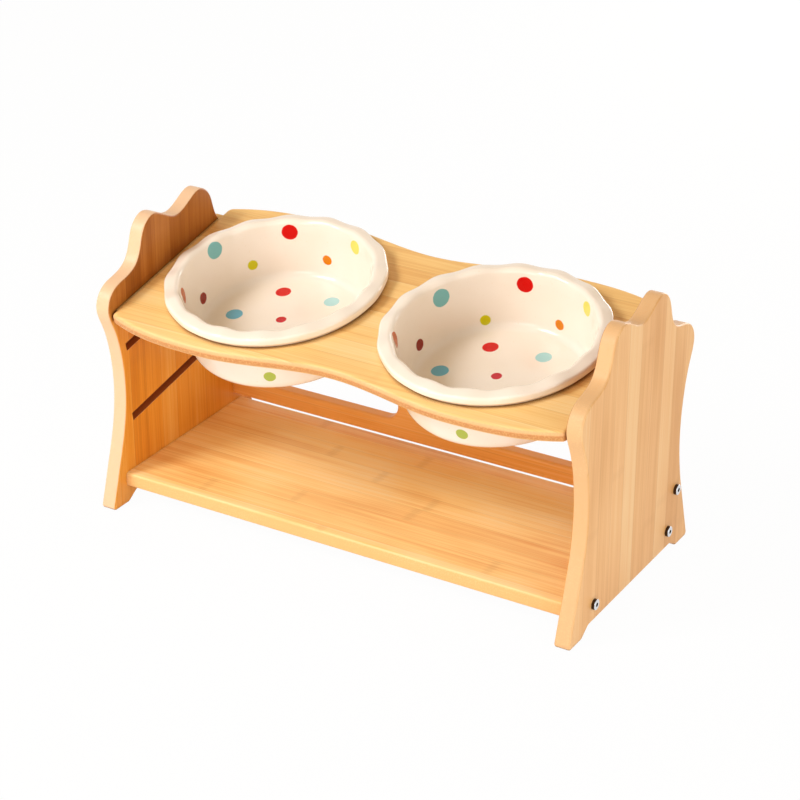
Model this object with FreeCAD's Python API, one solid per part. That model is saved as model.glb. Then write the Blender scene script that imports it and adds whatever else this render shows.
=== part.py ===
import FreeCAD, Part
import math
import os

# Raised feeding stand of laminated bamboo with two lift-out ceramic bowls.
# Millimetres, +X along the length, -Y to the front, +Z up, origin on the ground under the middle of the stand.

# Stand
stand_length = 400.0
panel_thickness = 12.0
panel_depth = 192.0
panel_height = 221.0
panel_edge_round = 1.4
cut_overrun = 5.0

# Panel outline from the foot to the shoulder and over the ear to the dip, in the half depth and the height
leg_shares = ((0.901, 0.154), (0.815, 0.281), (0.773, 0.430), (0.807, 0.575), (0.875, 0.670))
shoulder_share = (0.932, 0.747)
crown_shares = (
    (0.909, 0.780), (0.833, 0.812), (0.690, 0.830), (0.562, 0.856), (0.496, 0.905), (0.443, 0.964),
    (0.323, 1.000), (0.177, 0.981))
dip_share = 0.953
toe_round = 3.0
toe_splay = math.radians(17.5)
foot_length = 19.0
arch_height = 6.5
arch_slope_length = 10.0
arch_round = 5.0

# Slope of the board and its grooves
slope_angle = math.radians(11.5)
board_height = 180.0
groove_width = 7.0
groove_depth = 6.0
middle_level_drop = 32.0
lower_level_drop = 91.0
top_groove_inset = 13.5
middle_groove_inset = 16.0
lower_groove_inset = 7.5

# Top board
board_thickness = 9.0
bulge_margin = 7.6
waist_draw = 13.5
end_draw = 13.0
bulge_spread = 22.0
board_end_gap = 1.0
board_edge_round = 3.0
board_front_corner = 4.0
board_rear_corner = 6.0
tongue_clearance = 0.5
tongue_rear_inset = 37.5
seat_gap = 0.15

# Bowls
bowl_gap = 16.2
bowl_end_gap = 12.1
bowl_line_forward = 10.7
lip_wave = 0.7
lip_wave_count = 16
lip_width = 12.7
lip_crest_height = 11.0
lip_edge_height = 8.6
lip_edge_thickness = 5.0
lip_crest_round = 4.0
lip_edge_round = 2.3
lip_seat_width = 3.5
bowl_wall = 4.5
base_taper = 5.7
bowl_body_depth = 47.0
bowl_floor_depth = 36.0
floor_taper = 5.0
bowl_floor_round = 10.0
bowl_base_round = 9.0
foot_ring_inset = 13.3
foot_ring_width = 8.0
foot_ring_height = 1.5
foot_recess_depth = 3.0
bowl_hole_clearance = 1.5
hole_edge_round = 0.8
left_bowl_turn = 2.5
right_bowl_turn = -7.5

# Bottom shelf
shelf_thickness = 11.5
shelf_ground_gap = 14.5
shelf_front_inset = 16.5
shelf_rear_setback = 0.3
shelf_edge_round = 2.5

# Back rail
rail_thickness = 12.0
rail_height = 36.6
rail_ground_gap = 32.4
rail_rear_inset = 19.0
rail_edge_round = 2.5
notch_floor_height = 15.1
notch_inner_reach = 34.0
rail_end_length = 30.0
notch_round = 12.0
notch_top_round = 6.0

# Screws and dowels
screw_head_diameter = 8.0
screw_head_height = 2.6
screw_head_round = 0.5
screw_socket_width = 3.0
screw_socket_depth = 1.6
screw_shank_diameter = 4.0
screw_length = 38.0
screw_tip_length = 3.0
screw_tip_diameter = 1.0
screw_clearance = 0.15
shelf_screw_inset = 36.0
rail_screw_height = 17.6
dowel_diameter = 6.0
dowel_length = 24.0
dowel_panel_depth = 8.0
dowel_clearance = 0.05
dowel_height = 6.5

# Stand, shelf and rail, as they follow from the sizes above
inner_x = stand_length / 2 - panel_thickness
half_panel_depth = panel_depth / 2
rail_rear_reach = half_panel_depth - rail_rear_inset
notch_length = inner_x - rail_end_length - notch_inner_reach
shelf_front_reach = half_panel_depth - shelf_front_inset
shelf_rear_reach = rail_rear_reach - shelf_rear_setback
shelf_screw_reach = half_panel_depth - shelf_screw_inset

# Bowls side by side between the panels, and the board around them
lip_outer_radius = (inner_x * 2 - bowl_gap - bowl_end_gap * 2) / 4
lip_radius = lip_outer_radius - lip_wave
lip_reach = lip_outer_radius + cut_overrun
bowl_spacing = lip_outer_radius * 2 + bowl_gap
mouth_radius = lip_radius - lip_width
bowl_neck_radius = mouth_radius + bowl_wall
bowl_base_radius = bowl_neck_radius - base_taper
bowl_floor_radius = mouth_radius - floor_taper
foot_ring_radius = bowl_base_radius - foot_ring_inset
bulge_spacing = bowl_spacing + bulge_spread
board_bulge_depth = (lip_outer_radius + bulge_margin) * 2
board_waist_depth = board_bulge_depth - waist_draw * 2
board_end_depth = board_bulge_depth - end_draw * 2

# Grooves and the board's place in them
top_groove_reach = half_panel_depth - top_groove_inset
middle_groove_reach = half_panel_depth - middle_groove_inset
lower_groove_reach = half_panel_depth - lower_groove_inset
tongue_length = top_groove_reach + half_panel_depth - tongue_rear_inset
board_front_reach = board_bulge_depth / 2 + bowl_line_forward
board_front_y = (
    (board_front_reach - board_edge_round) * math.cos(slope_angle)
    - board_edge_round * math.sin(slope_angle) + board_edge_round)
panel_middle_y = (board_front_y - half_panel_depth) / 2
level_drops = (0.0, middle_level_drop, lower_level_drop)
groove_reaches = (top_groove_reach, middle_groove_reach, lower_groove_reach)
groove_middle = -board_thickness / 2


def on_slope(shape):
    """Tilts a shape made flat, with its top at height 0, into the slope of the board."""
    tilt = FreeCAD.Rotation(FreeCAD.Vector(1, 0, 0), math.degrees(slope_angle))
    placed = shape.copy()
    placed.Placement = FreeCAD.Placement(FreeCAD.Vector(0, panel_middle_y, board_height), tilt)
    return placed


def rounded_path(points, radius):
    """Edges of an open run of straight lines with a tangent arc at each inner point."""
    edges = []
    start = points[0]
    for before, corner, after in zip(points, points[1:], points[2:]):
        back = (before - corner).normalize()
        ahead = (after - corner).normalize()
        half_angle = back.getAngle(ahead) / 2
        trim = radius / math.tan(half_angle)
        arc_start = corner + back * trim
        arc_end = corner + ahead * trim
        bisector = (back + ahead).normalize()
        middle = corner + bisector * (radius / math.sin(half_angle) - radius)
        edges.append(Part.makeLine(start, arc_start))
        edges.append(Part.Arc(arc_start, middle, arc_end).toShape())
        start = arc_end
    edges.append(Part.makeLine(start, points[-1]))
    return edges


def mirrored(shape):
    """The same shape on the other side of the stand."""
    return shape.mirror(FreeCAD.Vector(0, 0, 0), FreeCAD.Vector(1, 0, 0))


def panel_point(side, shares):
    """A point of the panel's outline: side is -1 at the front and 1 at the rear."""
    depth_share, height_share = shares
    return FreeCAD.Vector(
        inner_x, panel_middle_y + side * depth_share * half_panel_depth, height_share * panel_height)


def toe_point(side, angle):
    """A point of a foot's rounded toe, by its angle above the level."""
    centre = FreeCAD.Vector(inner_x, panel_middle_y + side * (half_panel_depth - toe_round), toe_round)
    return centre + FreeCAD.Vector(0, side * math.cos(angle), math.sin(angle)) * toe_round


def toe_edge(side):
    """Arc from the sole of a foot to the leg's edge."""
    return Part.Arc(toe_point(side, -math.pi / 2), toe_point(side, 0), toe_point(side, toe_splay)).toShape()


def upper_edge():
    """One smooth edge from the front toe over the shoulders, ears and dip to the rear toe."""
    half_shares = leg_shares + (shoulder_share,) + crown_shares
    points = [toe_point(-1, toe_splay)]
    points += [panel_point(-1, shares) for shares in half_shares]
    points.append(panel_point(0, (0, dip_share)))
    points += [panel_point(1, shares) for shares in reversed(half_shares)]
    points.append(toe_point(1, toe_splay))
    leaving = FreeCAD.Vector(0, math.sin(toe_splay), math.cos(toe_splay))
    arriving = FreeCAD.Vector(0, math.sin(toe_splay), -math.cos(toe_splay))
    curve = Part.BSplineCurve()
    curve.interpolate(points, InitialTangent=leaving, FinalTangent=arriving)
    return curve.toShape()


def panel_face():
    """Outline of a side panel in the plane of the right panel's inner face."""
    toe_place = half_panel_depth - toe_round
    heel_place = half_panel_depth - foot_length
    arch_place = heel_place - arch_slope_length
    sole = ((-toe_place, 0), (-heel_place, 0), (-arch_place, arch_height))
    under = [FreeCAD.Vector(inner_x, panel_middle_y + depth, height) for depth, height in sole]
    under += [FreeCAD.Vector(inner_x, panel_middle_y - depth, height) for depth, height in reversed(sole)]
    edges = rounded_path(under, arch_round) + [toe_edge(-1), toe_edge(1), upper_edge()]
    return Part.Face(Part.Wire(Part.__sortEdges__(edges)))


def groove_cutters():
    """Three sloping grooves, stopped at the front and open at the rear."""
    cutters = []
    for drop, reach in zip(level_drops, groove_reaches):
        groove = Part.makeBox(
            groove_depth + cut_overrun, reach + panel_depth, groove_width,
            FreeCAD.Vector(inner_x - cut_overrun, -reach, groove_middle - drop - groove_width / 2))
        cutters.append(on_slope(groove))
    return cutters


def screw_places():
    """Height and depth of the screws in each panel, by name."""
    shelf_level = shelf_ground_gap + shelf_thickness / 2
    rail_level = rail_ground_gap + rail_screw_height
    rail_middle = rail_rear_reach - rail_thickness / 2
    return {
        "shelf_screw_front": (panel_middle_y - shelf_screw_reach, shelf_level),
        "shelf_screw_rear": (panel_middle_y + shelf_screw_reach, shelf_level),
        "rail_screw": (panel_middle_y + rail_middle, rail_level)}


def screw_holes():
    """Holes for the right panel's screws, through the panel and into the shelf and the rail."""
    outer_x = stand_length / 2
    holes = []
    for depth, height in screw_places().values():
        holes.append(Part.makeCylinder(
            screw_shank_diameter / 2 + screw_clearance, screw_length + cut_overrun,
            FreeCAD.Vector(outer_x - screw_length, depth, height), FreeCAD.Vector(1, 0, 0)))
    return holes


def dowel_rod(radius):
    """Rod across the joint between the right panel and the rail's end."""
    middle_y = panel_middle_y + rail_rear_reach - rail_thickness / 2
    return Part.makeCylinder(
        radius, dowel_length,
        FreeCAD.Vector(inner_x + dowel_panel_depth - dowel_length, middle_y, rail_ground_gap + dowel_height),
        FreeCAD.Vector(1, 0, 0))


def fastener_holes():
    """All holes at the right end of the stand."""
    return screw_holes() + [dowel_rod(dowel_diameter / 2 + dowel_clearance)]


def long_edges_at(shape, places, axis):
    """Edges that lie wholly in one of the planes at the given places along an axis."""
    found = []
    for edge in shape.Edges:
        box = edge.BoundBox
        low, high = {"x": (box.XMin, box.XMax), "y": (box.YMin, box.YMax), "z": (box.ZMin, box.ZMax)}[axis]
        for place in places:
            if math.isclose(low, place, abs_tol=panel_edge_round / 10) and math.isclose(
                    high, place, abs_tol=panel_edge_round / 10):
                found.append(edge)
    return found


def right_panel():
    """Side panel with rounded edges, grooves and holes on its inner side."""
    panel = panel_face().extrude(FreeCAD.Vector(panel_thickness, 0, 0))
    rims = long_edges_at(panel, (inner_x, inner_x + panel_thickness), "x")
    panel = panel.makeFillet(panel_edge_round, rims)
    return panel.cut(groove_cutters() + fastener_holes())


def bottom_shelf():
    """Flat shelf that butts against both panels, with rounded long edges."""
    shelf = Part.makeBox(
        inner_x * 2, shelf_front_reach + shelf_rear_reach, shelf_thickness,
        FreeCAD.Vector(-inner_x, panel_middle_y - shelf_front_reach, shelf_ground_gap))
    front_edges = long_edges_at(shelf, (panel_middle_y - shelf_front_reach,), "y")
    rear_edges = long_edges_at(shelf, (panel_middle_y + shelf_rear_reach,), "y")
    along = [edge for edge in front_edges + rear_edges if edge.Length > shelf_thickness]
    shelf = shelf.makeFillet(shelf_edge_round, along)
    return shelf.cut(screw_holes() + [mirrored(hole) for hole in screw_holes()])


def rail_notch():
    """Wide notch with rounded lower corners and eased mouth, open at the top, right of the middle."""
    outer = notch_inner_reach + notch_length
    rail_top = rail_ground_gap + rail_height
    floor = rail_ground_gap + notch_floor_height
    front_y = panel_middle_y + rail_rear_reach - rail_thickness - cut_overrun
    high = rail_top + cut_overrun
    corners = ((notch_inner_reach, high), (notch_inner_reach, floor), (outer, floor), (outer, high))
    points = [FreeCAD.Vector(x, front_y, z) for x, z in corners]
    edges = rounded_path(points, notch_round) + [Part.makeLine(points[-1], points[0])]
    face = Part.Face(Part.Wire(Part.__sortEdges__(edges)))
    return face.extrude(FreeCAD.Vector(0, rail_thickness + 2 * cut_overrun, 0))


def back_rail():
    """Low rail between the panels with a notch under each bowl and a post between them."""
    front_y = panel_middle_y + rail_rear_reach - rail_thickness
    rail = Part.makeBox(
        inner_x * 2, rail_thickness, rail_height, FreeCAD.Vector(-inner_x, front_y, rail_ground_gap))
    rail = rail.cut([rail_notch(), mirrored(rail_notch())])
    rail_top = rail_ground_gap + rail_height
    mouth_places = (notch_inner_reach, notch_inner_reach + notch_length)
    mouths = []
    for edge in long_edges_at(rail, (rail_top,), "z"):
        across = math.isclose(edge.BoundBox.YLength, rail_thickness, abs_tol=rail_edge_round / 10)
        if across and any(math.isclose(abs(edge.CenterOfMass.x), place, rel_tol=0.01) for place in mouth_places):
            mouths.append(edge)
    rail = rail.makeFillet(notch_top_round, mouths)
    rims = long_edges_at(rail, (front_y, front_y + rail_thickness), "y")
    rims = [edge for edge in rims if abs(edge.CenterOfMass.x) < inner_x - rail_edge_round]
    rail = rail.makeFillet(rail_edge_round, rims)
    holes = fastener_holes()
    return rail.cut(holes + [mirrored(hole) for hole in holes])


def board_edge(side):
    """Wavy long edge of the board: side is -1 at the front and 1 at the rear."""
    half_length = inner_x - board_end_gap
    half_bulge = bulge_spacing / 2
    waves = (
        (-half_length, board_end_depth), (-half_bulge, board_bulge_depth), (0, board_waist_depth),
        (half_bulge, board_bulge_depth), (half_length, board_end_depth))
    points = [FreeCAD.Vector(x, side * depth / 2 - bowl_line_forward, -board_thickness) for x, depth in waves]
    level = FreeCAD.Vector(1, 0, 0)
    curve = Part.BSplineCurve()
    curve.interpolate(points, Tangents=[level] * len(points), TangentFlags=[False, True, True, True, False])
    return curve.toShape()


def board_tongue():
    """Tongue on the board's right end that runs in the panel's groove."""
    low = groove_middle - groove_width / 2 + seat_gap
    return Part.makeBox(
        board_end_gap + groove_depth - tongue_clearance + board_edge_round, tongue_length,
        groove_width - tongue_clearance - seat_gap,
        FreeCAD.Vector(inner_x - board_end_gap - board_edge_round, seat_gap - top_groove_reach, low))


def bowl_places():
    """Middle of each bowl along the stand."""
    return {"left_bowl": -bowl_spacing / 2, "right_bowl": bowl_spacing / 2}


def top_board():
    """Sloping board with a wavy outline, two holes for the bowls and a tongue at each end."""
    front, rear = board_edge(-1), board_edge(1)
    ends = [
        Part.makeLine(front.Vertexes[0].Point, rear.Vertexes[0].Point),
        Part.makeLine(front.Vertexes[-1].Point, rear.Vertexes[-1].Point)]
    face = Part.Face(Part.Wire(Part.__sortEdges__([front, rear] + ends)))
    board = face.extrude(FreeCAD.Vector(0, 0, board_thickness))
    uprights = [edge for edge in board.Edges if math.isclose(edge.BoundBox.ZLength, board_thickness, rel_tol=0.01)]
    board = board.makeFillet(board_front_corner, [e for e in uprights if e.CenterOfMass.y < 0])
    uprights = [edge for edge in board.Edges if math.isclose(edge.BoundBox.ZLength, board_thickness, rel_tol=0.01)]
    rear_corners = [
        e for e in uprights
        if e.CenterOfMass.y > 0 and math.isclose(abs(e.CenterOfMass.x), inner_x - board_end_gap, rel_tol=0.01)]
    board = board.makeFillet(board_rear_corner, rear_corners)
    board = board.makeFillet(board_edge_round, long_edges_at(board, (0, -board_thickness), "z"))
    hole_radius = bowl_neck_radius + bowl_hole_clearance
    for x in bowl_places().values():
        hole = Part.makeCylinder(
            hole_radius, board_thickness + 2 * cut_overrun,
            FreeCAD.Vector(x, -bowl_line_forward, -board_thickness - cut_overrun))
        board = board.cut(hole)
    rims = [
        edge for edge in long_edges_at(board, (0, -board_thickness), "z")
        if math.isclose(edge.BoundBox.XLength, hole_radius * 2, rel_tol=0.01)]
    board = board.makeFillet(hole_edge_round, rims)
    board = board.fuse([board_tongue(), mirrored(board_tongue())]).removeSplitter()
    return on_slope(board)


def bowl_profile():
    """Half section of a bowl about its axis, with the top of the board at height 0 and the lip left wide."""
    lip_underside = lip_edge_height - lip_edge_thickness
    seat_end = bowl_neck_radius + bowl_hole_clearance + lip_seat_width
    underside_slope = lip_underside / (lip_radius - seat_end)
    crest_slope = (lip_crest_height - lip_edge_height) / (lip_radius - mouth_radius)
    base = -bowl_body_depth
    ring_bottom = base - foot_ring_height
    recess = ring_bottom + foot_recess_depth
    ring_inner = foot_ring_radius - foot_ring_width

    def at(radius, height):
        return FreeCAD.Vector(radius, 0, height + seat_gap)

    crest_end = at(lip_reach, lip_edge_height - crest_slope * (lip_reach - lip_radius))
    underside_end = at(lip_reach, lip_underside + underside_slope * (lip_reach - lip_radius))
    inside = rounded_path(
        [at(0, -bowl_floor_depth), at(bowl_floor_radius, -bowl_floor_depth), at(mouth_radius, 0)],
        bowl_floor_round)
    crest = rounded_path(
        [at(mouth_radius, 0), at(mouth_radius + lip_crest_round / 2, lip_crest_height), crest_end],
        lip_crest_round)
    underside = Part.makePolygon([crest_end, underside_end, at(seat_end, 0), at(bowl_neck_radius, 0)]).Edges
    body = rounded_path(
        [at(bowl_neck_radius, 0), at(bowl_base_radius, base), at(foot_ring_radius, base)], bowl_base_round)
    ring = Part.makePolygon([
        at(foot_ring_radius, base), at(foot_ring_radius, ring_bottom), at(ring_inner, ring_bottom),
        at(ring_inner, recess), at(0, recess), at(0, -bowl_floor_depth)]).Edges
    return Part.Face(Part.Wire(Part.__sortEdges__(inside + crest + underside + body + ring)))


def lip_prism():
    """Upright prism with the lip's scalloped outline, tall enough to hold a whole bowl."""
    steps = lip_wave_count * 8
    points = []
    for step in range(steps):
        angle = 2 * math.pi * step / steps
        radius = lip_radius + lip_wave * math.cos(lip_wave_count * angle)
        points.append(FreeCAD.Vector(radius * math.sin(angle), -radius * math.cos(angle), 0))
    outline = Part.BSplineCurve()
    outline.interpolate(points, PeriodicFlag=True)
    face = Part.Face(Part.Wire([outline.toShape()]))
    low = -bowl_body_depth - foot_ring_height - cut_overrun
    face.translate(FreeCAD.Vector(0, 0, low))
    return face.extrude(FreeCAD.Vector(0, 0, lip_crest_height + cut_overrun - low))


def bowl(x, turn):
    """Ceramic bowl hanging by its lip in the board, turned about its own axis by some degrees."""
    body = bowl_profile().revolve(FreeCAD.Vector(0, 0, 0), FreeCAD.Vector(0, 0, 1), 360)
    scalloped = body.common(lip_prism())
    least = lip_radius - lip_wave * 2
    rims = [edge for edge in scalloped.Edges if min(
        math.hypot(point.x, point.y) for point in edge.discretize(lip_wave_count)) > least]
    rims = [edge for edge in rims if edge.Length > lip_radius]
    scalloped = scalloped.makeFillet(lip_edge_round, rims)
    scalloped.rotate(FreeCAD.Vector(0, 0, 0), FreeCAD.Vector(0, 0, 1), turn)
    scalloped.translate(FreeCAD.Vector(x, -bowl_line_forward, 0))
    return on_slope(Part.makeCompound([scalloped]))


def screw(depth, height):
    """Round-headed screw with a hexagon socket in the right panel."""
    outer_x = stand_length / 2
    along = FreeCAD.Vector(1, 0, 0)
    head = Part.makeCylinder(
        screw_head_diameter / 2, screw_head_height, FreeCAD.Vector(outer_x, depth, height), along)
    rim = long_edges_at(head, (outer_x + screw_head_height,), "x")
    head = head.makeFillet(screw_head_round, rim)
    corner_radius = screw_socket_width / 2 / math.cos(math.pi / 6)
    corners = []
    for corner in range(7):
        angle = corner * math.pi / 3
        corners.append(FreeCAD.Vector(
            outer_x + screw_head_height, depth + corner_radius * math.cos(angle),
            height + corner_radius * math.sin(angle)))
    socket = Part.Face(Part.makePolygon(corners)).extrude(FreeCAD.Vector(-screw_socket_depth, 0, 0))
    shank_length = screw_length - screw_tip_length
    shank = Part.makeCylinder(
        screw_shank_diameter / 2, shank_length, FreeCAD.Vector(outer_x - shank_length, depth, height), along)
    tip = Part.makeCone(
        screw_tip_diameter / 2, screw_shank_diameter / 2, screw_tip_length,
        FreeCAD.Vector(outer_x - screw_length, depth, height), along)
    return head.cut(socket).fuse([shank, tip]).removeSplitter()


def all_pieces():
    """Every piece by its node name."""
    pieces = {
        "right_panel": right_panel(),
        "left_panel": mirrored(right_panel()),
        "bottom_shelf": bottom_shelf(),
        "back_rail": back_rail(),
        "top_board": top_board(),
        "left_bowl": bowl(bowl_places()["left_bowl"], left_bowl_turn),
        "right_bowl": bowl(bowl_places()["right_bowl"], right_bowl_turn)}
    for name, (depth, height) in screw_places().items():
        pieces[name + "_right"] = screw(depth, height)
        pieces[name + "_left"] = mirrored(screw(depth, height))
    dowel = dowel_rod(dowel_diameter / 2)
    pieces["rail_dowel_right"] = dowel
    pieces["rail_dowel_left"] = mirrored(dowel)
    return pieces


os.makedirs("parts", exist_ok=True)
for node, shape in all_pieces().items():
    shape.exportStep("parts/" + node + ".step")
    box = shape.BoundBox
    print(node, len(shape.Solids), round(shape.Volume), [round(v, 2) for v in (
        box.XMin, box.YMin, box.ZMin, box.XMax, box.YMax, box.ZMax)])
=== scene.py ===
"""Looks of a raised feeding stand: lacquered bamboo, two glazed bowls with dots and bright screws."""
import math

import bpy
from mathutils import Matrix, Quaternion, Vector


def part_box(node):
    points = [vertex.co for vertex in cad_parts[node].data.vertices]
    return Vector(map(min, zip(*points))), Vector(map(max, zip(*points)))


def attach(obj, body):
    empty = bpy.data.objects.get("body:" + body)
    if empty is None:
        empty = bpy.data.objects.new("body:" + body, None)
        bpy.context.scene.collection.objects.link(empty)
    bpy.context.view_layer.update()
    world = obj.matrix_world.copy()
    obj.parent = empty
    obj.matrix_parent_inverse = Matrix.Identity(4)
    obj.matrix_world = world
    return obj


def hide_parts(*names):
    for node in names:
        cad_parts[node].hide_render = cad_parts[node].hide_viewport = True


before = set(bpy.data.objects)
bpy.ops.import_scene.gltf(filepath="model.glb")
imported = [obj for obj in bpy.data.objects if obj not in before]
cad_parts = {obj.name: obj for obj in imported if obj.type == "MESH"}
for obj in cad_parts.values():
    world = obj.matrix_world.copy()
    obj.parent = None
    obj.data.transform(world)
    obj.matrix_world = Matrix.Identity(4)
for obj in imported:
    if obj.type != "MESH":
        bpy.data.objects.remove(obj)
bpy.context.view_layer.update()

# Sizes in metres and turns, as in the part
PANEL_MIDDLE_Y = sum(corner.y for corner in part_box("left_panel")) / 2
SLOPE = math.radians(11.5)
BOARD_HEIGHT = 0.180
BOARD_THICKNESS = 0.009
BOWL_SPACING = 0.184
BOWL_TURNS = {"left_bowl": math.radians(2.5), "right_bowl": math.radians(-7.5)}
BOWL_LINE_FORWARD = 0.0107
SEAT_GAP = 0.00015
LIP_RADIUS = 0.0832
LIP_WAVE = 0.0007
LIP_WAVE_COUNT = 16
LIP_CREST = 0.0110
LIP_EDGE = 0.0086
LIP_EDGE_THICKNESS = 0.0050
LIP_CREST_ROUND = 0.0040
LIP_EDGE_ROUND = 0.0023
SEAT_END = 0.0800
MOUTH_RADIUS = 0.0705
NECK_RADIUS = 0.0750
BASE_RADIUS = 0.0693
BODY_DEPTH = 0.0470
FLOOR_DEPTH = 0.0360
FLOOR_RADIUS = 0.0655
BASE_ROUND = 0.0090
RING_RADIUS = 0.0560
RING_WIDTH = 0.0080
RING_HEIGHT = 0.0015
RECESS_DEPTH = 0.0030
INNER_X = 0.188
GROOVE_DEPTH = 0.006
GROOVE_WIDTH = 0.007
GROOVE_LEVELS = (-0.0045, -0.0365, -0.0955)
GROOVE_REACHES = (0.0825, 0.0800, 0.0885)

# Finer forms of the bowls in metres, beyond the part: the floor's round is tighter than there
MM = 0.001
LIP_WAVE_RISE = 0.0008
MOUTH_WAVE = 0.0007
FLOOR_ROUND = 0.0075
SMALL_ROUND = 0.0006
STEPS_PER_WAVE = 14
ARC_STEPS = 7
LONGEST_STEP = 0.004

# Bamboo strips in metres, and their noise: steps per metre along and across the strips, and detail
STRIP_WIDTH = 0.019
STRIP_WANDER = 0.0024
STRIP_SHIFT = 23.0
LANES_PER_SEED = 3.7
WOOD_NOISE = {
    "wander": (6.0, 14.0, 1.0), "fibre": (11.0, 1100.0, 3.0),
    "band": (4.5, 240.0, 2.0), "cloud": (9.0, 21.0, 2.0)}
DEPTH_STEPS = 260.0
MIDDLE = 0.5
FIBRE_SHARE = 0.55
BAND_SHARE = 0.45
STRIP_SHARE = 0.34
PATCH_SHARE = 0.5
TONE_STOPS = (0.12, 0.5, 0.88)

# Where faces, edges, seams and knuckles start and are full, and where painted shade starts and is full:
# above the board on the panels' inner faces, on the lower half of the board's edge and in crevices
FACE_TURNS = (0.35, 0.85)
INWARD_TURNS = (-0.35, -0.75)
PAINTED_SHADE_ABOVE_BOARD = (-0.010, 0.004)
SHADED_EDGE_SHARES = (0.26, 0.42)
PORE_STEPS = 850.0
PORE_LEVELS = (0.42, 0.70)
PORE_SHARE = 0.28
KNUCKLES_PER_METRE = 4.1
KNUCKLE_SHIFT = 7.0
KNUCKLE_RAGGEDNESS = 0.035
KNUCKLE_EDGES = (0.022, 0.004)
KNUCKLE_SHARE = 0.05
SEAM_EDGES = (0.482, 0.497)
SEAM_SHARE = 0.22
SEAM_DEPTH_SHARE = 0.5
GROOVE_SKIN = 0.0003
CREVICE_REACH = 0.006
CREVICE_SAMPLES = 6
CREVICE_LEVELS = (0.62, 0.12)
CREVICE_SHARE = 0.85

# Wood tones from dark to pale, as they look in plain light
HONEY = ((226, 166, 92), (248, 204, 132), (254, 222, 164))
AMBER = ((228, 158, 80), (251, 208, 134), (254, 227, 176))
# The rail's deeper ginger tone is painted shade
GINGER_SHADE = ((204, 122, 46), (232, 158, 76), (244, 184, 114))
TAN = ((220, 164, 102), (240, 192, 134), (248, 214, 164))
# Panels' inner faces: caramel, partly the wood's own tone and partly painted shade, below the board; umber,
# painted shade, above it
CARAMEL_AND_SHADE = ((196, 112, 22), (226, 146, 44), (240, 178, 90))
UMBER_SHADE = ((132, 70, 16), (168, 98, 32), (194, 126, 58))
BEECH = ((190, 150, 104), (208, 170, 124), (220, 186, 144))
# Cut edges are paler than the faces; the left panel's lighter edge tone is painted light and the right
# panel's darker one painted shade, on one wood
LEFT_EDGE_LIT_TONE = (235, 197, 162)
RIGHT_EDGE_SHADED_TONE = (227, 183, 134)
BOARD_EDGE_TONE = (232, 180, 128)
# Painted shade on the lower half of the board's front edge
BOARD_LOW_EDGE_SHADE = (206, 142, 86)
SHELF_EDGE_TONE = (240, 188, 124)
RAIL_EDGE_TONE = (238, 164, 86)
DOWEL_EDGE_TONE = (214, 180, 138)
KNUCKLE_TONE = (150, 88, 34)
SEAM_TONE = (140, 80, 30)
# Painted shade in the panels' grooves
GROOVE_SHADE_TONE = (170, 96, 46)
# Painted shade where other pieces or faces are close
CREVICE_SHADE_TONE = (92, 40, 12)

# Axes along the strips, across them and through them
UPRIGHT = (2, 1, 0)
LENGTHWISE = (0, 1, 2)
LENGTHWISE_ON_EDGE = (0, 2, 1)

# Steel: steps per metre of its turning marks, tones with painted shade for the sides, and where the ends
# start
MARK_STEPS = 1400.0
STEEL_DULL = (196, 196, 198)
STEEL_BRIGHT = (238, 238, 240)
STEEL_SIDE_SHADE = (70, 58, 48)
STEEL_END_TURNS = (0.3, 0.7)

# Glaze: tones, steps per metre of its pools, flecks and ragged dots, and the bare ring in metres
GLAZE_TONES = ((245, 232, 217), (250, 241, 232))
FLECK_TONE = (240, 222, 198)
BARE_TONE = (206, 184, 156)
POOL_STEPS = 26.0
FLECK_STEPS = 900.0
FLECK_LEVELS = (0.72, 0.80)
RAGGED_STEPS = 420.0
DOT_WOBBLE = 0.0005
DOT_BLUR = 0.0003
DOT_THIN_SHARE = 0.92
BARE_HEIGHTS = (-0.0009, -0.0013)

# Dots: colours as they look in plain light
DOT_COLOURS = {
    "red": (222, 2, 2), "teal": (126, 192, 194), "lime": (216, 208, 2), "orange": (230, 130, 6),
    "yellow": (240, 230, 110), "rust": (200, 88, 20), "wine": (150, 30, 6), "crimson": (206, 4, 20),
    "sky": (176, 224, 226), "blue": (116, 194, 226), "green": (182, 196, 76)}
# Dots on the wall: colour, degrees from the front towards the right, mm above the board, width in mm
WALL_DOTS = {
    "left_bowl": (
        ("red", 204.7, 0.9, 12.5), ("teal", 254.4, 2.5, 13.5), ("lime", 231.3, -21.3, 8.0),
        ("orange", 180.7, -20.0, 8.0), ("yellow", 156, 0.5, 11.0), ("rust", 300.5, -2.5, 12.0),
        ("wine", 275.3, -25.0, 9.0)),
    "right_bowl": (
        ("red", 191, -1.0, 12.5), ("teal", 243, -1.5, 14.0), ("lime", 217, -28.8, 8.0),
        ("orange", 167, -26.6, 8.0), ("yellow", 142, 0.7, 11.0), ("rust", 296, 2.2, 12.0),
        ("wine", 267, -25.6, 9.0))}
# Dots on the floor: colour, mm from the middle, degrees, width in mm
FLOOR_DOTS = {
    "left_bowl": (
        ("red", 44.7, 212.6, 12.0), ("sky", 43.8, 155.8, 12.0), ("blue", 42.9, 273, 13.0),
        ("crimson", 7.4, 225.6, 8.0)),
    "right_bowl": (
        ("red", 41.8, 217.6, 12.0), ("sky", 39.8, 155.8, 12.0), ("blue", 45.8, 278.4, 13.0),
        ("crimson", 5.3, 234.2, 8.0))}
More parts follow.
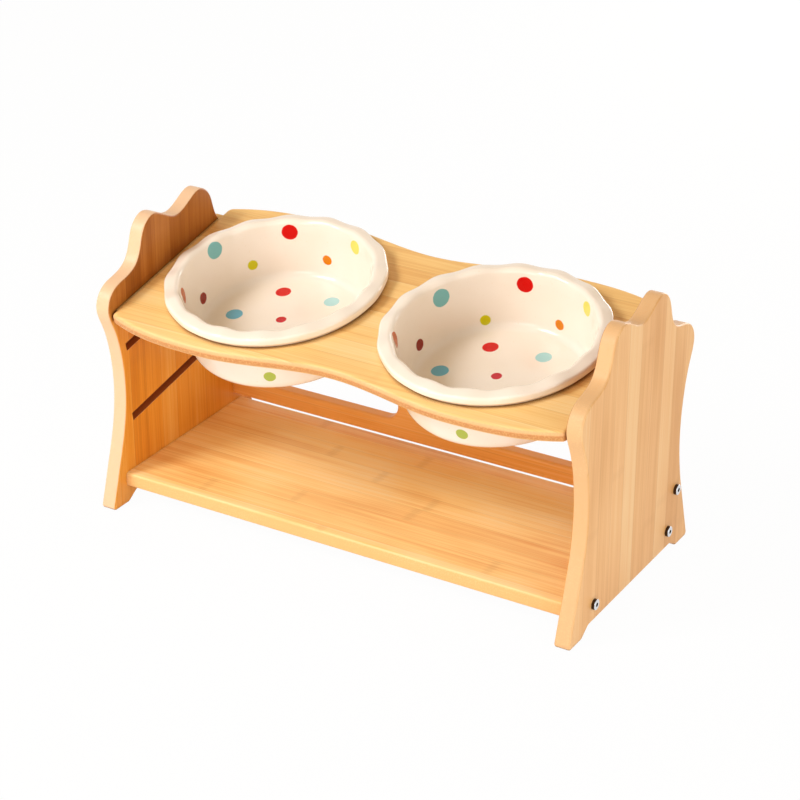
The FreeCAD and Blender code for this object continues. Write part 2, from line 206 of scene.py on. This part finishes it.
# Dots on the near wall inside, which the lip hides from the front, and on the outside, as on the wall
NEAR_DOTS = (
    ("sky", 12, -8.0, 11.0), ("red", 48, -17.0, 10.0), ("lime", 84, -3.0, 9.0), ("blue", 112, -20.0, 12.0),
    ("orange", 334, -19.0, 8.0))
OUTSIDE_DOTS = (
    ("green", 12, -32.5, 9.0), ("red", 58, -22.0, 11.0), ("sky", 104, -31.0, 11.0),
    ("orange", 150, -21.0, 8.0), ("teal", 196, -30.0, 12.0), ("yellow", 240, -22.0, 10.0),
    ("wine", 286, -31.0, 8.0), ("lime", 330, -20.0, 8.0))
OUTSIDE_TURNS = {"left_bowl": 13, "right_bowl": -5}

# Studio: floor, surroundings and lamps, each with its place, target, size in metres and power in watts
FLOOR_REACH = 6.0
FLOOR_SHADE = 0.9
FLOOR_ROUGHNESS = 0.9
FLOOR_GLOW_SHARE = 0.97
WHITE = (1, 1, 1, 1)
WORLD_LEVEL = 0.45
WORLD_TINT = (1.0, 0.77, 0.48)
LAMPS = {
    "key": ((-1.1, -1.3, 1.5), (0, 0, 0.1), 0.7, 28.5),
    "side fill": ((1.7, -0.6, 0.3), (0, 0, 0.1), 1.0, 12.0),
    "low fill": ((-0.1, -1.8, 0.5), (0, 0, 0.05), 0.8, 9.0),
    "rear fill": ((0.2, 1.7, 0.45), (0, 0, 0.05), 1.0, 15.0)}

# Camera at the photograph's place: metres from the middle of the panels, turns, and millimetres of lens
CAMERA_X = 0.7995
CAMERA_FORWARD = 1.3307
CAMERA_HEIGHT = 0.8672
CAMERA_AZIMUTH = math.radians(30.76)
CAMERA_ELEVATION = math.radians(26.24)
CAMERA_ROLL = math.radians(0.09)
CAMERA_SENSOR = 36.0
CAMERA_LENS = 105.57

# Screen colours turned into linear ones, and the sockets of a colour blend
SCREEN_FULL = 255
DARK_END = 0.04045
DARK_SLOPE = 12.92
CURVE_OFFSET = 0.055
CURVE_POWER = 2.4
BLEND_INPUTS = (0, 6, 7)
BLEND_RESULT = 2


def linear(colour, alpha=1.0):
    """Colour as written on a screen, 0 to 255, turned into the linear values that shaders take."""
    parts = []
    for value in colour:
        share = value / SCREEN_FULL
        dark = share / DARK_SLOPE
        bright = ((share + CURVE_OFFSET) / (1 + CURVE_OFFSET)) ** CURVE_POWER
        parts.append(dark if share <= DARK_END else bright)
    return (*parts, alpha)


def add(tree, kind, settings=None, **inputs):
    """New shader node with its settings, and its inputs set to values or linked to sockets."""
    made = tree.nodes.new(kind)
    for name, value in (settings or {}).items():
        setattr(made, name, value)
    for name, value in inputs.items():
        place = int(name[1:]) if name[1:].isdigit() else name.replace("_", " ")
        connect(tree, value, made.inputs[place])
    return made


def connect(tree, value, socket):
    """Links a socket to an input, or sets the input to a plain value."""
    if isinstance(value, bpy.types.NodeSocket):
        tree.links.new(value, socket)
    else:
        socket.default_value = value


def calc(tree, operation, first, second=0.0, third=0.0):
    """Result of one sum on numbers or sockets."""
    return add(tree, "ShaderNodeMath", {"operation": operation}, i0=first, i1=second, i2=third).outputs[0]


def times(tree, first, second):
    """Product of two numbers or sockets."""
    return calc(tree, "MULTIPLY", first, second)


def swing(tree, value, share, base):
    """Base moved up or down by a share of how far a value lies from the middle."""
    return calc(tree, "MULTIPLY_ADD", calc(tree, "SUBTRACT", value, MIDDLE), share, base)


def from_middle(tree, value):
    """How far a value lies from the middle of its unit step."""
    return calc(tree, "ABSOLUTE", calc(tree, "SUBTRACT", calc(tree, "FRACT", value), MIDDLE))


def mix(tree, share, first, second):
    """Blend of two colours."""
    made = add(tree, "ShaderNodeMix", {"data_type": "RGBA"})
    for place, value in zip(BLEND_INPUTS, (share, first, second)):
        connect(tree, value, made.inputs[place])
    return made.outputs[BLEND_RESULT]


def ease(tree, value, limits):
    """Smooth rise from 0 at the first limit to 1 at the second."""
    low, high = limits
    return add(
        tree, "ShaderNodeMapRange", {"interpolation_type": "SMOOTHSTEP"},
        Value=value, From_Min=low, From_Max=high).outputs[0]


def speckle(tree, coords, steps, detail):
    """Even noise, in steps per metre."""
    return add(tree, "ShaderNodeTexNoise", Vector=coords, Scale=steps, Detail=detail).outputs[0]


def vector_sum(tree, operation, first, second):
    """Node for one sum on two vectors."""
    return add(tree, "ShaderNodeVectorMath", {"operation": operation}, i0=first, i1=second)


def wood_noise(tree, kind, along, across, depth):
    """Noise stretched along the strips of the wood."""
    along_steps, across_steps, detail = WOOD_NOISE[kind]
    place = add(
        tree, "ShaderNodeCombineXYZ",
        X=times(tree, along, along_steps), Y=times(tree, across, across_steps), Z=depth).outputs[0]
    return speckle(tree, place, steps=1, detail=detail)


def new_material(name):
    """Empty material with its tree, its main shader and the coordinates of the piece."""
    material = bpy.data.materials.new(name)
    material.use_nodes = True
    tree = material.node_tree
    coords = add(tree, "ShaderNodeTexCoord").outputs["Object"]
    return material, tree, tree.nodes["Principled BSDF"], coords


def split(tree, vector):
    """The three parts of a vector."""
    return add(tree, "ShaderNodeSeparateXYZ", Vector=vector).outputs


def facing(tree):
    """The three parts of the way that a surface faces."""
    return split(tree, add(tree, "ShaderNodeNewGeometry").outputs["Normal"])


def relief(tree, shader, height, strength, depth):
    """Fine relief of a surface from a height."""
    bump = add(tree, "ShaderNodeBump", Strength=strength, Distance=depth, Height=height)
    tree.links.new(bump.outputs[0], shader.inputs["Normal"])


def clear_coat(shader, shine, weight, roughness):
    """Clear layer over a surface."""
    shader.inputs["Specular IOR Level"].default_value = shine
    shader.inputs["Coat Weight"].default_value = weight
    shader.inputs["Coat Roughness"].default_value = roughness


def slope_place(tree, place):
    """How far a place is above the board's top, square to it, and how far up the slope."""
    depth = calc(tree, "SUBTRACT", place[1], PANEL_MIDDLE_Y)
    height = calc(tree, "SUBTRACT", place[2], BOARD_HEIGHT)
    lift = times(tree, height, math.cos(SLOPE))
    climb = times(tree, height, math.sin(SLOPE))
    above = calc(tree, "MULTIPLY_ADD", depth, -math.sin(SLOPE), lift)
    up_slope = calc(tree, "MULTIPLY_ADD", depth, math.cos(SLOPE), climb)
    return above, up_slope


def in_groove(tree, place):
    """1 on the walls and the bottom of a panel's grooves, 0 elsewhere."""
    above, up_slope = slope_place(tree, place)
    found = 0.0
    for level, reach in zip(GROOVE_LEVELS, GROOVE_REACHES):
        away = calc(tree, "ABSOLUTE", calc(tree, "SUBTRACT", above, level))
        in_band = calc(tree, "LESS_THAN", away, GROOVE_WIDTH / 2 + GROOVE_SKIN)
        behind_stop = calc(tree, "GREATER_THAN", up_slope, -reach - GROOVE_SKIN)
        found = calc(tree, "MULTIPLY_ADD", in_band, behind_stop, found)
    aside = calc(tree, "ABSOLUTE", place[0])
    under_face = calc(tree, "GREATER_THAN", aside, INNER_X + GROOVE_SKIN)
    over_bottom = calc(tree, "LESS_THAN", aside, INNER_X + GROOVE_DEPTH + GROOVE_SKIN)
    return times(tree, found, times(tree, under_face, over_bottom))


def strips(tree, place, grain, seed, patch_share):
    """Glued strips: the way along them, their lanes, a chance for each, their fibre and the wood's tone."""
    along, across, through = (place[axis] for axis in grain)
    wander = wood_noise(tree, "wander", along, across, seed)
    bent = calc(tree, "MULTIPLY_ADD", wander, STRIP_WANDER, across)
    lane = calc(tree, "MULTIPLY_ADD", bent, 1 / STRIP_WIDTH, seed * LANES_PER_SEED)
    index = calc(tree, "FLOOR", lane)
    chance = add(tree, "ShaderNodeTexWhiteNoise", {"noise_dimensions": "1D"}, W=index).outputs[0]
    shifted = calc(tree, "ADD", along, times(tree, chance, STRIP_SHIFT))
    deep = times(tree, through, DEPTH_STEPS)
    fibre = wood_noise(tree, "fibre", shifted, bent, deep)
    band = wood_noise(tree, "band", shifted, bent, deep)
    cloud = wood_noise(tree, "cloud", along, across, seed)
    tone = swing(tree, fibre, FIBRE_SHARE, MIDDLE)
    tone = swing(tree, band, BAND_SHARE, tone)
    tone = swing(tree, chance, STRIP_SHARE, tone)
    tone = swing(tree, cloud, patch_share, tone)
    return along, lane, chance, fibre, tone


def tone_ramp(tree, tone, colours):
    """Colour of the wood between its dark tone and its pale one."""
    made = add(tree, "ShaderNodeValToRGB", Fac=tone)
    points = made.color_ramp.elements
    points.new(MIDDLE)
    for point, stop, colour in zip(points, TONE_STOPS, colours):
        point.position = stop
        point.color = linear(colour)
    return made.outputs[0]


def inner_faces_and_shade(tree, place, normal, tone, colour, inner_and_shade_tones):
    """Panel colour with deeper tones on the inner face: below the board a deeper tone that is partly the
    wood's own and partly painted shade, above it a darker painted shade.
    """
    outward = times(tree, normal[0], calc(tree, "SIGN", place[0]))
    sloped = calc(tree, "MULTIPLY_ADD", place[1], -math.tan(SLOPE), place[2])
    shade_above_board = ease(tree, sloped, [BOARD_HEIGHT + shift for shift in PAINTED_SHADE_ABOVE_BOARD])
    below, above = (tone_ramp(tree, tone, tones) for tones in inner_and_shade_tones)
    inner = mix(tree, shade_above_board, below, above)
    return mix(tree, ease(tree, outward, INWARD_TURNS), colour, inner)


def cut_edges(tree, coords, place, colour, edge_tone, shaded_low_edge_tone):
    """Colour of the cut edges with open pores, and painted shade on their lower half where a tone for it is
    given.
    """
    edge = linear(edge_tone)
    if shaded_low_edge_tone:
        # Painted shade on the lower half of the edge
        above = slope_place(tree, place)[0]
        low = ease(tree, above, [-share * BOARD_THICKNESS for share in SHADED_EDGE_SHARES])
        edge = mix(tree, low, edge, linear(shaded_low_edge_tone))
    pores = speckle(tree, coords, PORE_STEPS, detail=1)
    return mix(tree, times(tree, ease(tree, pores, PORE_LEVELS), PORE_SHARE), edge, colour)


def knuckles(tree, along, chance, fibre):
    """1 on the knuckles of the cane: short dark lines across single strips."""
    reach = calc(tree, "MULTIPLY_ADD", along, KNUCKLES_PER_METRE, times(tree, chance, KNUCKLE_SHIFT))
    ragged = swing(tree, fibre, KNUCKLE_RAGGEDNESS, from_middle(tree, reach))
    return ease(tree, ragged, KNUCKLE_EDGES)


def crevice_shade(tree, colour):
    """Painted shade: colour that darkens where another piece or face is close."""
    nearby = add(tree, "ShaderNodeAmbientOcclusion", {"samples": CREVICE_SAMPLES}, Distance=CREVICE_REACH)
    open_air = nearby.outputs["AO"]
    close = times(tree, ease(tree, open_air, CREVICE_LEVELS), CREVICE_SHARE)
    return mix(tree, close, colour, linear(CREVICE_SHADE_TONE))


def bamboo(
        name, grain, tones, edge_tone, seed, inner_and_shade_tones=None, shaded_low_edge_tone=None,
        patch_share=PATCH_SHARE, knuckle_share=KNUCKLE_SHARE):
    """Lacquered bamboo in glued strips."""
    material, tree, shader, coords = new_material(name)
    place = split(tree, coords)
    normal = facing(tree)
    along, lane, chance, fibre, tone = strips(tree, place, grain, seed, patch_share)
    colour = tone_ramp(tree, tone, tones)
    if inner_and_shade_tones:
        colour = inner_faces_and_shade(tree, place, normal, tone, colour, inner_and_shade_tones)
    on_face = ease(tree, calc(tree, "ABSOLUTE", normal[grain[2]]), FACE_TURNS)
    edge = cut_edges(tree, coords, place, colour, edge_tone, shaded_low_edge_tone)
    colour = mix(tree, on_face, edge, colour)
    knuckle = times(tree, times(tree, knuckles(tree, along, chance, fibre), knuckle_share), on_face)
    colour = mix(tree, knuckle, colour, linear(KNUCKLE_TONE))
    seam = times(tree, ease(tree, from_middle(tree, lane), SEAM_EDGES), on_face)
    colour = mix(tree, times(tree, seam, SEAM_SHARE), colour, linear(SEAM_TONE))
    if inner_and_shade_tones:
        # Painted shade in the panels' grooves
        colour = mix(tree, in_groove(tree, place), colour, linear(GROOVE_SHADE_TONE))
    # Painted shade in crevices, joints and grooves
    tree.links.new(crevice_shade(tree, colour), shader.inputs["Base Color"])
    smoothest, spread = 0.30, 0.22
    tree.links.new(calc(tree, "MULTIPLY_ADD", fibre, spread, smoothest), shader.inputs["Roughness"])
    height = calc(tree, "SUBTRACT", fibre, times(tree, seam, SEAM_DEPTH_SHARE))
    relief(tree, shader, height, strength=0.10, depth=0.0006)
    clear_coat(shader, shine=0.2, weight=0.1, roughness=0.28)
    return material


def steel(name):
    """Plated steel, bright on the ends with faint turning marks, with painted shade darker round the sides.
    """
    material, tree, shader, coords = new_material(name)
    marks = speckle(tree, coords, MARK_STEPS, detail=2)
    tone = mix(tree, marks, linear(STEEL_DULL), linear(STEEL_BRIGHT))
    on_end = ease(tree, calc(tree, "ABSOLUTE", facing(tree)[0]), STEEL_END_TURNS)
    # Painted shade round the sides of the screw heads
    tone = mix(tree, on_end, linear(STEEL_SIDE_SHADE), tone)
    tree.links.new(tone, shader.inputs["Base Color"])
    smoothest, spread = 0.14, 0.16
    tree.links.new(calc(tree, "MULTIPLY_ADD", marks, spread, smoothest), shader.inputs["Roughness"])
    shader.inputs["Metallic"].default_value = 1.0
    return material


def on_slope(point):
    """A place given along the stand, up the slope and above the board, in the shared frame."""
    along, up_slope, above = point
    return Vector((
        along, PANEL_MIDDLE_Y + up_slope * math.cos(SLOPE) - above * math.sin(SLOPE),
        BOARD_HEIGHT + up_slope * math.sin(SLOPE) + above * math.cos(SLOPE)))


def bowl_point(centre_x, radius, angle, height):
    """A place of a bowl: the angle goes from the front towards the right."""
    up_slope = -BOWL_LINE_FORWARD - radius * math.cos(angle)
    return on_slope((centre_x + radius * math.sin(angle), up_slope, height + SEAT_GAP))


def wall_radius(height):
    """Radius of the bowl's inside at a height between its floor and its mouth."""
    return MOUTH_RADIUS + (MOUTH_RADIUS - FLOOR_RADIUS) * min(height, 0) / FLOOR_DEPTH


def rounded(points):
    """Run of straight lines with arcs: each point is a radius, a height and the arc at that corner."""
    path = [Vector(points[0][:2])]
    for before, corner, after in zip(points, points[1:], points[2:]):
        here = Vector(corner[:2])
        back = (Vector(before[:2]) - here).normalized()
        ahead = (Vector(after[:2]) - here).normalized()
        half = back.angle(ahead) / 2
        trim = corner[2] / math.tan(half)
        centre = here + (back + ahead).normalized() * (corner[2] / math.sin(half))
        first = here + back * trim - centre
        last = here + ahead * trim - centre
        turn = first.angle_signed(last)
        for step in range(ARC_STEPS + 1):
            angle = -turn * step / ARC_STEPS
            path.append(centre + Vector((
                first.x * math.cos(angle) - first.y * math.sin(angle),
                first.x * math.sin(angle) + first.y * math.cos(angle))))
    path.append(Vector(points[-1][:2]))
    return path


def split_long(path, longest):
    """The same path with long runs split into even steps."""
    dense = [path[0]]
    for start, end in zip(path, path[1:]):
        count = max(1, math.ceil((end - start).length / longest))
        dense += [start.lerp(end, step / count) for step in range(1, count + 1)]
    return dense


def bowl_section():
    """Half section of a bowl from the middle of its floor over the lip to the middle of its underside."""
    underside = LIP_EDGE - LIP_EDGE_THICKNESS
    base = -BODY_DEPTH
    bottom = base - RING_HEIGHT
    recess = bottom + RECESS_DEPTH
    ring_inner = RING_RADIUS - RING_WIDTH
    corners = [
        (0.0, -FLOOR_DEPTH, 0), (FLOOR_RADIUS, -FLOOR_DEPTH, FLOOR_ROUND),
        (MOUTH_RADIUS, 0, SMALL_ROUND), (MOUTH_RADIUS + LIP_CREST_ROUND / 2, LIP_CREST, LIP_CREST_ROUND),
        (LIP_RADIUS, LIP_EDGE, LIP_EDGE_ROUND), (LIP_RADIUS, underside, LIP_EDGE_ROUND),
        (SEAT_END, 0, SMALL_ROUND), (NECK_RADIUS, 0, SMALL_ROUND), (BASE_RADIUS, base, BASE_ROUND),
        (RING_RADIUS, base, SMALL_ROUND), (RING_RADIUS, bottom, SMALL_ROUND),
        (ring_inner, bottom, SMALL_ROUND), (ring_inner, recess, SMALL_ROUND), (0.0, recess, 0)]
    return split_long(rounded(corners), LONGEST_STEP)


def lip_waves(radius, height):
    """How far the waves move a ring of the bowl outwards and upwards."""
    across = min(max((radius - MOUTH_RADIUS) / (LIP_RADIUS - MOUTH_RADIUS), 0.0), 1.0)
    up = min(max(height / LIP_CREST, 0.0), 1.0)
    outwards = LIP_WAVE * across - MOUTH_WAVE * (1 - across)
    return outwards * up, LIP_WAVE_RISE * up ** 2


def bowl_points(name, centre_x, section, around):
    """Points of a bowl ring by ring, and then the middles of its floor and of its underside."""
    points = []
    for radius, height in section[1:-1]:
        outwards, upwards = lip_waves(radius, height)
        for step in range(around):
            angle = 2 * math.pi * step / around
            wave = math.cos(LIP_WAVE_COUNT * (angle - BOWL_TURNS[name]))
            points.append(bowl_point(centre_x, radius + outwards * wave, angle, height + upwards * wave))
    points.append(bowl_point(centre_x, 0, 0, section[0].y))
    points.append(bowl_point(centre_x, 0, 0, section[-1].y))
    return points


def bowl_faces(rings, around):
    """Faces of a bowl, and for each 0 on the inside up to the lip's edge or 1 on the outside."""
    outmost = max(range(len(rings)), key=lambda ring: rings[ring].x)
    last = (len(rings) - 1) * around
    floor_middle = len(rings) * around
    underside_middle = floor_middle + 1
    faces, sides = [], []
    for ring in range(len(rings) - 1):
        for step in range(around):
            after = (step + 1) % around
            faces.append((
                ring * around + step, ring * around + after,
                (ring + 1) * around + after, (ring + 1) * around + step))
            sides.append(0 if ring < outmost else 1)
    for step in range(around):
        after = (step + 1) % around
        faces.append((floor_middle, after, step))
        faces.append((underside_middle, last + step, last + after))
        sides += [0, 1]
    return faces, sides


def bowl_mesh(name, centre_x):
    """Turned bowl whose lip waves gently, with its inside and its outside as two materials."""
    section = bowl_section()
    around = LIP_WAVE_COUNT * STEPS_PER_WAVE
    faces, sides = bowl_faces(section[1:-1], around)
    mesh = bpy.data.meshes.new(name + "_glazed")
    mesh.from_pydata(bowl_points(name, centre_x, section, around), [], faces)
    mesh.shade_smooth()
    for face, side in zip(mesh.polygons, sides):
        face.material_index = side
    return mesh


def inside_dots(name, centre_x):
    """Colour, place and radius of every dot on the inside of a bowl."""
    dots = []
    for colour, angle, height, width in WALL_DOTS[name] + NEAR_DOTS:
        radius = wall_radius(height * MM)
        place = bowl_point(centre_x, radius, math.radians(angle), height * MM)
        dots.append((colour, place, width * MM / 2))
    for colour, distance, angle, width in FLOOR_DOTS[name]:
        place = bowl_point(centre_x, distance * MM, math.radians(angle), -FLOOR_DEPTH)
        dots.append((colour, place, width * MM / 2))
    return dots


def outside_dots(name, centre_x):
    """Colour, place and radius of every dot on the outside of a bowl."""
    dots = []
    for colour, angle, height, width in OUTSIDE_DOTS:
        radius = NECK_RADIUS + (NECK_RADIUS - BASE_RADIUS) * height * MM / BODY_DEPTH
        turned = math.radians(angle + OUTSIDE_TURNS[name])
        dots.append((colour, bowl_point(centre_x, radius, turned, height * MM), width * MM / 2))
    return dots


def painted_dots(tree, coords, pool, colour, dots):
    """Colour of the glaze with dots painted on it."""
    ragged = speckle(tree, coords, RAGGED_STEPS, detail=2)
    wobble = times(tree, calc(tree, "SUBTRACT", ragged, MIDDLE), DOT_WOBBLE)
    for name, place, radius in dots:
        thick = DOT_COLOURS[name]
        thin = [value * DOT_THIN_SHARE for value in thick]
        away = vector_sum(tree, "DISTANCE", coords, place).outputs["Value"]
        away = calc(tree, "ADD", away, wobble)
        inside = ease(tree, away, (radius + DOT_BLUR, radius - DOT_BLUR))
        colour = mix(tree, inside, colour, mix(tree, pool, linear(thin), linear(thick)))
    return colour


def bare_ring(tree, coords, centre_x):
    """1 on the end of the foot ring, which has no glaze."""
    up = on_slope((0, 0, 1)) - on_slope((0, 0, 0))
    foot = bowl_point(centre_x, 0, 0, -BODY_DEPTH)
    from_foot = vector_sum(tree, "SUBTRACT", coords, foot).outputs[0]
    height = vector_sum(tree, "DOT_PRODUCT", from_foot, up).outputs["Value"]
    return ease(tree, height, BARE_HEIGHTS)


def glaze(name, centre_x, dots):
    """Glossy cream glaze with painted dots and a bare foot ring."""
    material, tree, shader, coords = new_material(name)
    pool = speckle(tree, coords, POOL_STEPS, detail=2)
    fleck = speckle(tree, coords, FLECK_STEPS, detail=1)
    thick, thin = GLAZE_TONES
    colour = mix(tree, pool, linear(thick), linear(thin))
    colour = mix(tree, ease(tree, fleck, FLECK_LEVELS), colour, linear(FLECK_TONE))
    colour = painted_dots(tree, coords, pool, colour, dots)
    bare = bare_ring(tree, coords, centre_x)
    colour = mix(tree, bare, colour, linear(BARE_TONE))
    tree.links.new(colour, shader.inputs["Base Color"])
    glossy, dulled = 0.10, 0.6
    tree.links.new(calc(tree, "MULTIPLY_ADD", bare, dulled, glossy), shader.inputs["Roughness"])
    relief(tree, shader, pool, strength=0.12, depth=0.0008)
    clear_coat(shader, shine=0.25, weight=0.2, roughness=0.06)
    return material


def make_bowl(name, side):
    """Detailed bowl in place of the plain solid."""
    centre_x = side * BOWL_SPACING / 2
    bowl = bpy.data.objects.new(name + "_glazed", bowl_mesh(name, centre_x))
    bpy.context.scene.collection.objects.link(bowl)
    bowl.data.materials.append(glaze(name + "_inside", centre_x, inside_dots(name, centre_x)))
    bowl.data.materials.append(glaze(name + "_outside", centre_x, outside_dots(name, centre_x)))
    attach(bowl, {"left_bowl": "bowl_left", "right_bowl": "bowl_right"}[name])
    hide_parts(name)


def paint(node, material):
    """Gives a solid of the frame its material."""
    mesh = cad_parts[node].data
    mesh.materials.clear()
    mesh.materials.append(material)


def dress_stand():
    """Materials of the bamboo pieces, screws and dowels."""
    # Inner faces get caramel below the board, partly the wood's own tone and partly painted shade, and umber
    # painted shade above it
    inner_and_shade_ramps = (CARAMEL_AND_SHADE, UMBER_SHADE)
    # The left panel's lighter edges are painted light and the right panel's darker edges painted shade
    paint("left_panel", bamboo("bamboo_left", UPRIGHT, TAN, LEFT_EDGE_LIT_TONE, seed=2, inner_and_shade_tones=inner_and_shade_ramps))
    paint("right_panel", bamboo("bamboo_right", UPRIGHT, TAN, RIGHT_EDGE_SHADED_TONE, seed=17, inner_and_shade_tones=inner_and_shade_ramps))
    paint("top_board", bamboo(
        "bamboo_top", LENGTHWISE, HONEY, BOARD_EDGE_TONE, seed=5, shaded_low_edge_tone=BOARD_LOW_EDGE_SHADE))
    paint("bottom_shelf", bamboo(
        "bamboo_shelf", LENGTHWISE, AMBER, SHELF_EDGE_TONE, seed=8, patch_share=0.8, knuckle_share=0.12))
    # The rail's ginger tone is painted shade
    paint("back_rail", bamboo("bamboo_rail", LENGTHWISE_ON_EDGE, GINGER_SHADE, RAIL_EDGE_TONE, seed=11))
    plain = bamboo("dowel_beech", LENGTHWISE, BEECH, DOWEL_EDGE_TONE, seed=14)
    bright = steel("screw_steel")
    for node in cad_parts:
        if "screw" in node:
            paint(node, bright)
        if "dowel" in node:
            paint(node, plain)


def make_stage():
    """White floor that runs out of view and keeps a faint shadow."""
    low, high = -FLOOR_REACH, FLOOR_REACH
    mesh = bpy.data.meshes.new("floor")
    mesh.from_pydata([(low, low, 0), (high, low, 0), (high, high, 0), (low, high, 0)], [], [(0, 1, 2, 3)])
    floor = bpy.data.objects.new("floor", mesh)
    bpy.context.scene.collection.objects.link(floor)
    material, tree, shader, _ = new_material("floor_white")
    shader.inputs["Base Color"].default_value = (FLOOR_SHADE, FLOOR_SHADE, FLOOR_SHADE, 1)
    shader.inputs["Roughness"].default_value = FLOOR_ROUGHNESS
    shader.inputs["Specular IOR Level"].default_value = 0.0
    glow = add(tree, "ShaderNodeEmission", Color=WHITE, Strength=1.0)
    path = add(tree, "ShaderNodeLightPath")
    seen = calc(tree, "MAXIMUM", path.outputs["Is Camera Ray"], path.outputs["Is Glossy Ray"])
    share = times(tree, seen, FLOOR_GLOW_SHARE)
    blend = add(tree, "ShaderNodeMixShader", Fac=share, i1=shader.outputs[0], i2=glow.outputs[0])
    tree.links.new(blend.outputs[0], tree.nodes["Material Output"].inputs["Surface"])
    mesh.materials.append(material)


def make_world():
    """Even surroundings: white to the eye and in reflections, plain warm light on surfaces."""
    world = bpy.data.worlds.new("studio")
    bpy.context.scene.world = world
    world.use_nodes = True
    tree = world.node_tree
    path = add(tree, "ShaderNodeLightPath")
    seen = calc(tree, "MAXIMUM", path.outputs["Is Camera Ray"], path.outputs["Is Glossy Ray"])
    seen = calc(tree, "MAXIMUM", seen, path.outputs["Is Transmission Ray"])
    strength = calc(tree, "MULTIPLY_ADD", seen, 1 - WORLD_LEVEL, WORLD_LEVEL)
    tree.links.new(strength, tree.nodes["Background"].inputs["Strength"])
    tree.links.new(mix(tree, seen, (*WORLD_TINT, 1), WHITE), tree.nodes["Background"].inputs["Color"])


def make_lamp(name, place, target, size, power):
    """Soft square lamp that points at a place of the stand."""
    data = bpy.data.lights.new(name, "AREA")
    data.shape = "SQUARE"
    data.size = size
    data.energy = power
    lamp = bpy.data.objects.new(name, data)
    lamp.location = place
    lamp.rotation_euler = (Vector(target) - Vector(place)).to_track_quat("-Z", "Y").to_euler()
    bpy.context.scene.collection.objects.link(lamp)


def make_camera():
    """Camera at the photograph's place."""
    level = math.cos(CAMERA_ELEVATION)
    back = Vector((
        math.sin(CAMERA_AZIMUTH) * level, -math.cos(CAMERA_AZIMUTH) * level, math.sin(CAMERA_ELEVATION)))
    data = bpy.data.cameras.new("camera")
    data.sensor_width = CAMERA_SENSOR
    data.lens = CAMERA_LENS
    camera = bpy.data.objects.new("camera", data)
    camera.location = (CAMERA_X, PANEL_MIDDLE_Y - CAMERA_FORWARD, CAMERA_HEIGHT)
    camera.rotation_mode = "QUATERNION"
    camera.rotation_quaternion = (-back).to_track_quat("-Z", "Y") @ Quaternion((0, 0, 1), CAMERA_ROLL)
    bpy.context.scene.collection.objects.link(camera)
    bpy.context.scene.camera = camera


dress_stand()
make_bowl("left_bowl", -1)
make_bowl("right_bowl", 1)
make_stage()
make_world()
for lamp_name, lamp_settings in LAMPS.items():
    make_lamp(lamp_name, *lamp_settings)
make_camera()
bpy.context.scene.view_settings.view_transform = "Standard"
